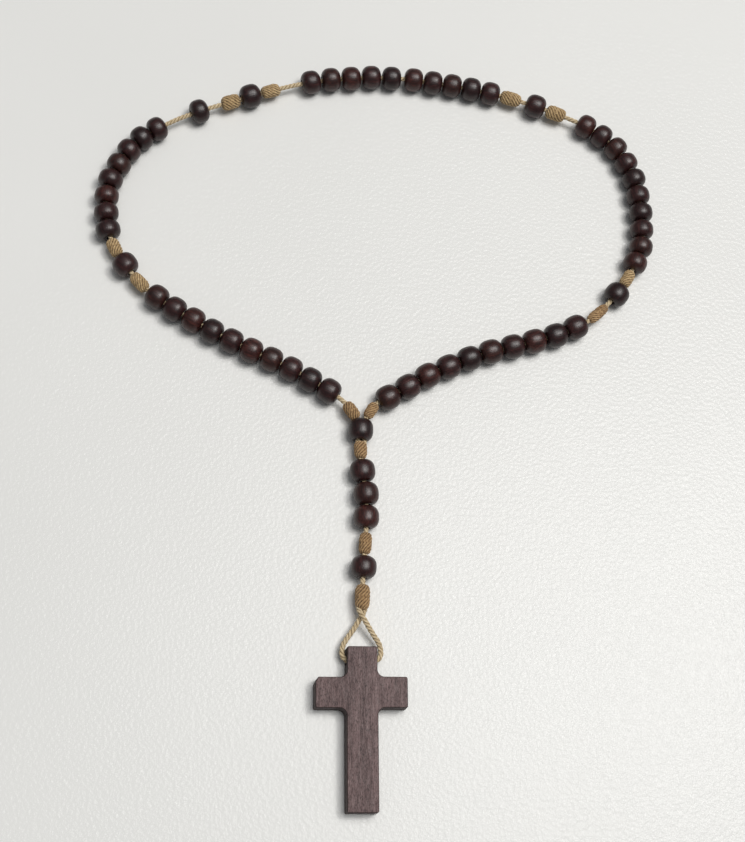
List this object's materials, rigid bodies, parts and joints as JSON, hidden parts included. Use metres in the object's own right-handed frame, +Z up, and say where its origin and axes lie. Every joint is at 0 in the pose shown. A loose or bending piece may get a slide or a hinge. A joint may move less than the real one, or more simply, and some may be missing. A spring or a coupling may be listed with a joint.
{
  "type": "wooden cord rosary",
  "caption": "Knotted twine loop of barrel-shaped wooden beads in five runs parted by single beads, with a pendant string of beads ending in a plain flat wooden cross.",
  "frame": {"origin": "centre of the footprint of the laid-out rosary, on the table", "axes": "+Z up from the table; +Y from the foot of the cross towards the top of the loop; +X to the right seen from above"},
  "size_m": [0.1875, 0.2502, 0.008],
  "materials": {
    "bead_wood": "dark purple-brown stained wood, rubbed to a soft sheen",
    "cross_wood": "dark matt wood with open grain along the stem",
    "twine": "three-strand laid twine, dry and slightly hairy"
  },
  "bodies": {
    "loop": {"loop_cord": "twine", "bead_centre": "bead_wood"},
    "bead_decade_1_01": {"bead_decade_1_01": "bead_wood"},
    "bead_decade_1_02": {"bead_decade_1_02": "bead_wood"},
    "bead_decade_1_03": {"bead_decade_1_03": "bead_wood"},
    "bead_decade_1_04": {"bead_decade_1_04": "bead_wood"},
    "bead_decade_1_05_and_06": {"bead_decade_1_05_and_06": "bead_wood"},
    "bead_decade_1_07": {"bead_decade_1_07": "bead_wood"},
    "bead_decade_1_08": {"bead_decade_1_08": "bead_wood"},
    "bead_decade_1_09": {"bead_decade_1_09": "bead_wood"},
    "bead_decade_1_10": {"bead_decade_1_10": "bead_wood"},
    "bead_decade_2_01": {"bead_decade_2_01": "bead_wood"},
    "bead_decade_2_02": {"bead_decade_2_02": "bead_wood"},
    "bead_decade_2_03": {"bead_decade_2_03": "bead_wood"},
    "bead_decade_2_04": {"bead_decade_2_04": "bead_wood"},
    "bead_decade_2_05": {"bead_decade_2_05": "bead_wood"},
    "bead_decade_2_06": {"bead_decade_2_06": "bead_wood"},
    "bead_decade_2_07": {"bead_decade_2_07": "bead_wood"},
    "bead_decade_2_08": {"bead_decade_2_08": "bead_wood"},
    "bead_decade_2_09": {"bead_decade_2_09": "bead_wood"},
    "bead_decade_3_01": {"bead_decade_3_01": "bead_wood"},
    "bead_decade_3_02": {"bead_decade_3_02": "bead_wood"},
    "bead_decade_3_03": {"bead_decade_3_03": "bead_wood"},
    "bead_decade_3_04": {"bead_decade_3_04": "bead_wood"},
    "bead_decade_3_05": {"bead_decade_3_05": "bead_wood"},
    "bead_decade_3_06": {"bead_decade_3_06": "bead_wood"},
    "bead_decade_3_07": {"bead_decade_3_07": "bead_wood"},
    "bead_decade_3_08": {"bead_decade_3_08": "bead_wood"},
    "bead_decade_3_09": {"bead_decade_3_09": "bead_wood"},
    "bead_decade_3_10": {"bead_decade_3_10": "bead_wood"},
    "bead_decade_4_01": {"bead_decade_4_01": "bead_wood"},
    "bead_decade_4_02": {"bead_decade_4_02": "bead_wood"},
    "bead_decade_4_03": {"bead_decade_4_03": "bead_wood"},
    "bead_decade_4_04": {"bead_decade_4_04": "bead_wood"},
    "bead_decade_4_05": {"bead_decade_4_05": "bead_wood"},
    "bead_decade_4_06": {"bead_decade_4_06": "bead_wood"},
    "bead_decade_4_07": {"bead_decade_4_07": "bead_wood"},
    "bead_decade_4_08": {"bead_decade_4_08": "bead_wood"},
    "bead_decade_4_09": {"bead_decade_4_09": "bead_wood"},
    "bead_decade_4_10": {"bead_decade_4_10": "bead_wood"},
    "bead_decade_5_01": {"bead_decade_5_01": "bead_wood"},
    "bead_decade_5_02": {"bead_decade_5_02": "bead_wood"},
    "bead_decade_5_03": {"bead_decade_5_03": "bead_wood"},
    "bead_decade_5_04": {"bead_decade_5_04": "bead_wood"},
    "bead_decade_5_05_and_06": {"bead_decade_5_05_and_06": "bead_wood"},
    "bead_decade_5_07": {"bead_decade_5_07": "bead_wood"},
    "bead_decade_5_08": {"bead_decade_5_08": "bead_wood"},
    "bead_decade_5_09": {"bead_decade_5_09": "bead_wood"},
    "bead_decade_5_10": {"bead_decade_5_10": "bead_wood"},
    "bead_father_1": {"bead_father_1": "bead_wood"},
    "bead_father_2": {"bead_father_2": "bead_wood"},
    "bead_father_3": {"bead_father_3": "bead_wood"},
    "bead_father_4": {"bead_father_4": "bead_wood"},
    "pendant_upper": {"pendant_cord_upper": "twine"},
    "pendant_lower": {"pendant_cord_lower": "twine"},
    "bead_trio_1": {"bead_trio_1": "bead_wood"},
    "bead_trio_2": {"bead_trio_2": "bead_wood"},
    "bead_trio_3": {"bead_trio_3": "bead_wood"},
    "bead_lower": {"bead_lower": "bead_wood"},
    "cross": {"cross": "cross_wood"}
  },
  "joints": [
    {"name": "bead_decade_1_01_slide", "type": "slide", "parent": "loop", "child": "bead_decade_1_01", "axis": [-0.8315, 0.5555, 0], "range_m": [-0.0019, 0]},
    {"name": "bead_decade_1_02_spin", "type": "hinge", "parent": "loop", "child": "bead_decade_1_02", "pos_m": [-0.02276, 0.00857, 0.004], "axis": [-0.8655, 0.5008, 0], "continuous": true},
    {"name": "bead_decade_1_03_spin", "type": "hinge", "parent": "loop", "child": "bead_decade_1_03", "pos_m": [-0.02892, 0.01196, 0.004], "axis": [-0.8891, 0.4578, 0], "continuous": true},
    {"name": "bead_decade_1_04_spin", "type": "hinge", "parent": "loop", "child": "bead_decade_1_04", "pos_m": [-0.0353, 0.0149, 0.004], "axis": [-0.9179, 0.3969, 0], "continuous": true},
    {"name": "bead_decade_1_05_and_06_spin", "type": "hinge", "parent": "loop", "child": "bead_decade_1_05_and_06", "pos_m": [-0.04485, 0.01937, 0.004], "axis": [-0.8942, 0.4477, 0], "continuous": true},
    {"name": "bead_decade_1_07_spin", "type": "hinge", "parent": "loop", "child": "bead_decade_1_07", "pos_m": [-0.05424, 0.02417, 0.004], "axis": [-0.885, 0.4656, 0], "continuous": true},
    {"name": "bead_decade_1_08_spin", "type": "hinge", "parent": "loop", "child": "bead_decade_1_08", "pos_m": [-0.06042, 0.02753, 0.004], "axis": [-0.8712, 0.491, 0], "continuous": true},
    {"name": "bead_decade_1_09_spin", "type": "hinge", "parent": "loop", "child": "bead_decade_1_09", "pos_m": [-0.06645, 0.03114, 0.004], "axis": [-0.8394, 0.5435, 0], "continuous": true},
    {"name": "bead_decade_1_10_spin", "type": "hinge", "parent": "loop", "child": "bead_decade_1_10", "pos_m": [-0.07223, 0.03513, 0.004], "axis": [-0.8002, 0.5997, 0], "continuous": true},
    {"name": "bead_decade_2_01_spin", "type": "hinge", "parent": "loop", "child": "bead_decade_2_01", "pos_m": [-0.08877, 0.05835, 0.004], "axis": [-0.2315, 0.9728, 0], "continuous": true},
    {"name": "bead_decade_2_02_spin", "type": "hinge", "parent": "loop", "child": "bead_decade_2_02", "pos_m": [-0.08986, 0.06448, 0.004], "axis": [-0.1193, 0.9929, 0], "continuous": true},
    {"name": "bead_decade_2_03_spin", "type": "hinge", "parent": "loop", "child": "bead_decade_2_03", "pos_m": [-0.08998, 0.07068, 0.004], "axis": [0.093, 0.9957, 0], "continuous": true},
    {"name": "bead_decade_2_04_spin", "type": "hinge", "parent": "loop", "child": "bead_decade_2_04", "pos_m": [-0.08885, 0.07679, 0.004], "axis": [0.2628, 0.9649, 0], "continuous": true},
    {"name": "bead_decade_2_05_spin", "type": "hinge", "parent": "loop", "child": "bead_decade_2_05", "pos_m": [-0.08668, 0.08261, 0.004], "axis": [0.4366, 0.8996, 0], "continuous": true},
    {"name": "bead_decade_2_06_spin", "type": "hinge", "parent": "loop", "child": "bead_decade_2_06", "pos_m": [-0.08352, 0.08796, 0.004], "axis": [0.577, 0.8167, 0], "continuous": true},
    {"name": "bead_decade_2_07_spin", "type": "hinge", "parent": "loop", "child": "bead_decade_2_07", "pos_m": [-0.07951, 0.0927, 0.004], "axis": [0.7175, 0.6965, 0], "continuous": true},
    {"name": "bead_decade_2_08_spin", "type": "hinge", "parent": "loop", "child": "bead_decade_2_08", "pos_m": [-0.07467, 0.0966, 0.004], "axis": [0.8202, 0.5721, 0], "continuous": true},
    {"name": "bead_decade_2_09_slide", "type": "slide", "parent": "loop", "child": "bead_decade_2_09", "axis": [0.9112, 0.4119, 0], "range_m": [-0.0064, 0.0045]},
    {"name": "bead_decade_3_01_slide", "type": "slide", "parent": "loop", "child": "bead_decade_3_01", "axis": [0.9735, 0.2288, 0], "range_m": [-0.006, 0]},
    {"name": "bead_decade_3_02_spin", "type": "hinge", "parent": "loop", "child": "bead_decade_3_02", "pos_m": [-0.01634, 0.1193, 0.004], "axis": [0.9847, 0.1745, 0], "continuous": true},
    {"name": "bead_decade_3_03_spin", "type": "hinge", "parent": "loop", "child": "bead_decade_3_03", "pos_m": [-0.00937, 0.12034, 0.004], "axis": [0.9925, 0.1225, 0], "continuous": true},
    {"name": "bead_decade_3_04_spin", "type": "hinge", "parent": "loop", "child": "bead_decade_3_04", "pos_m": [-0.00235, 0.12102, 0.004], "axis": [0.9977, 0.0684, 0], "continuous": true},
    {"name": "bead_decade_3_05_spin", "type": "hinge", "parent": "loop", "child": "bead_decade_3_05", "pos_m": [0.00469, 0.1213, 0.004], "axis": [1, 0.009, 0], "continuous": true},
    {"name": "bead_decade_3_06_spin", "type": "hinge", "parent": "loop", "child": "bead_decade_3_06", "pos_m": [0.01239, 0.12103, 0.004], "axis": [0.9973, -0.0736, 0], "continuous": true},
    {"name": "bead_decade_3_07_spin", "type": "hinge", "parent": "loop", "child": "bead_decade_3_07", "pos_m": [0.01913, 0.12037, 0.004], "axis": [0.9931, -0.1173, 0], "continuous": true},
    {"name": "bead_decade_3_08_spin", "type": "hinge", "parent": "loop", "child": "bead_decade_3_08", "pos_m": [0.02585, 0.11947, 0.004], "axis": [0.9895, -0.1442, 0], "continuous": true},
    {"name": "bead_decade_3_09_spin", "type": "hinge", "parent": "loop", "child": "bead_decade_3_09", "pos_m": [0.03256, 0.11845, 0.004], "axis": [0.9882, -0.1533, 0], "continuous": true},
    {"name": "bead_decade_3_10_spin", "type": "hinge", "parent": "loop", "child": "bead_decade_3_10", "pos_m": [0.03924, 0.1173, 0.004], "axis": [0.981, -0.1939, 0], "continuous": true},
    {"name": "bead_decade_4_01_slide", "type": "slide", "parent": "loop", "child": "bead_decade_4_01", "axis": [0.8595, -0.5111, 0], "range_m": [-0.0018, 0]},
    {"name": "bead_decade_4_02_spin", "type": "hinge", "parent": "loop", "child": "bead_decade_4_02", "pos_m": [0.07793, 0.10236, 0.004], "axis": [0.7832, -0.6217, 0], "continuous": true},
    {"name": "bead_decade_4_03_spin", "type": "hinge", "parent": "loop", "child": "bead_decade_4_03", "pos_m": [0.08262, 0.09785, 0.004], "axis": [0.6343, -0.7731, 0], "continuous": true},
    {"name": "bead_decade_4_04_spin", "type": "hinge", "parent": "loop", "child": "bead_decade_4_04", "pos_m": [0.08612, 0.09237, 0.004], "axis": [0.4491, -0.8935, 0], "continuous": true},
    {"name": "bead_decade_4_05_spin", "type": "hinge", "parent": "loop", "child": "bead_decade_4_05", "pos_m": [0.08851, 0.08631, 0.004], "axis": [0.2791, -0.9603, 0], "continuous": true},
    {"name": "bead_decade_4_06_spin", "type": "hinge", "parent": "loop", "child": "bead_decade_4_06", "pos_m": [0.08958, 0.07989, 0.004], "axis": [0.0717, -0.9974, 0], "continuous": true},
    {"name": "bead_decade_4_07_spin", "type": "hinge", "parent": "loop", "child": "bead_decade_4_07", "pos_m": [0.08981, 0.07337, 0.004], "axis": [0.0252, -0.9997, 0], "continuous": true},
    {"name": "bead_decade_4_08_spin", "type": "hinge", "parent": "loop", "child": "bead_decade_4_08", "pos_m": [0.08989, 0.06686, 0.004], "axis": [-0.0302, -0.9995, 0], "continuous": true},
    {"name": "bead_decade_4_09_spin", "type": "hinge", "parent": "loop", "child": "bead_decade_4_09", "pos_m": [0.08905, 0.06041, 0.004], "axis": [-0.2485, -0.9686, 0], "continuous": true},
    {"name": "bead_decade_4_10_spin", "type": "hinge", "parent": "loop", "child": "bead_decade_4_10", "pos_m": [0.0868, 0.0543, 0.004], "axis": [-0.4247, -0.9053, 0], "continuous": true},
    {"name": "bead_decade_5_01_spin", "type": "hinge", "parent": "loop", "child": "bead_decade_5_01", "pos_m": [0.06488, 0.02989, 0.004], "axis": [-0.886, -0.4636, 0], "continuous": true},
    {"name": "bead_decade_5_02_spin", "type": "hinge", "parent": "loop", "child": "bead_decade_5_02", "pos_m": [0.05788, 0.02694, 0.004], "axis": [-0.9415, -0.3369, 0], "continuous": true},
    {"name": "bead_decade_5_03_spin", "type": "hinge", "parent": "loop", "child": "bead_decade_5_03", "pos_m": [0.05067, 0.02449, 0.004], "axis": [-0.9498, -0.3128, 0], "continuous": true},
    {"name": "bead_decade_5_04_spin", "type": "hinge", "parent": "loop", "child": "bead_decade_5_04", "pos_m": [0.04337, 0.02234, 0.004], "axis": [-0.9636, -0.2675, 0], "continuous": true},
    {"name": "bead_decade_5_05_and_06_spin", "type": "hinge", "parent": "loop", "child": "bead_decade_5_05_and_06", "pos_m": [0.03249, 0.01891, 0.004], "axis": [-0.9424, -0.3344, 0], "continuous": true},
    {"name": "bead_decade_5_07_spin", "type": "hinge", "parent": "loop", "child": "bead_decade_5_07", "pos_m": [0.02191, 0.01464, 0.004], "axis": [-0.9037, -0.4281, 0], "continuous": true},
    {"name": "bead_decade_5_08_spin", "type": "hinge", "parent": "loop", "child": "bead_decade_5_08", "pos_m": [0.01519, 0.01107, 0.004], "axis": [-0.8677, -0.4971, 0], "continuous": true},
    {"name": "bead_decade_5_09_spin", "type": "hinge", "parent": "loop", "child": "bead_decade_5_09", "pos_m": [0.00864, 0.00719, 0.004], "axis": [-0.8555, -0.5177, 0], "continuous": true},
    {"name": "bead_decade_5_10_spin", "type": "hinge", "parent": "loop", "child": "bead_decade_5_10", "pos_m": [0.00208, 0.00334, 0.004], "axis": [-0.8819, -0.4714, 0], "continuous": true},
    {"name": "bead_father_1_spin", "type": "hinge", "parent": "loop", "child": "bead_father_1", "pos_m": [-0.08283, 0.04611, 0.004], "axis": [-0.5783, 0.8158, 0], "continuous": true},
    {"name": "bead_father_2_spin", "type": "hinge", "parent": "loop", "child": "bead_father_2", "pos_m": [-0.04371, 0.11103, 0.004], "axis": [0.9318, 0.363, 0], "continuous": true},
    {"name": "bead_father_3_spin", "type": "hinge", "parent": "loop", "child": "bead_father_3", "pos_m": [0.05506, 0.1131, 0.004], "axis": [0.9508, -0.3098, 0], "continuous": true},
    {"name": "bead_father_4_spin", "type": "hinge", "parent": "loop", "child": "bead_father_4", "pos_m": [0.07936, 0.04257, 0.004], "axis": [-0.6244, -0.7811, 0], "continuous": true},
    {"name": "pendant_upper_swing", "type": "hinge", "parent": "loop", "child": "pendant_upper", "pos_m": [-0.00664, -0.01775, 0.004], "axis": [0, 0, 1], "range_deg": [-30, 30]},
    {"name": "pendant_lower_swing", "type": "hinge", "parent": "pendant_upper", "child": "pendant_lower", "pos_m": [-0.0053, -0.04075, 0.004], "axis": [0, 0, 1], "range_deg": [-35, 35]},
    {"name": "bead_trio_1_spin", "type": "hinge", "parent": "pendant_upper", "child": "bead_trio_1", "pos_m": [-0.00629, -0.0215, 0.004], "axis": [0.1126, -0.9936, 0], "continuous": true},
    {"name": "bead_trio_2_spin", "type": "hinge", "parent": "pendant_upper", "child": "bead_trio_2", "pos_m": [-0.0053, -0.02895, 0.004], "axis": [0.0759, -0.9971, 0], "continuous": true},
    {"name": "bead_trio_3_spin", "type": "hinge", "parent": "pendant_upper", "child": "bead_trio_3", "pos_m": [-0.0052, -0.03645, 0.004], "axis": [-0.0135, -0.9999, 0], "continuous": true},
    {"name": "bead_lower_spin", "type": "hinge", "parent": "pendant_lower", "child": "bead_lower", "pos_m": [-0.00621, -0.0523, 0.004], "axis": [-0.0647, -0.9979, 0], "continuous": true},
    {"name": "cross_swing", "type": "hinge", "parent": "pendant_lower", "child": "cross", "pos_m": [-0.0068, -0.081, 0.003], "axis": [-1, 0, 0], "range_deg": [0, 110]}
  ]
}
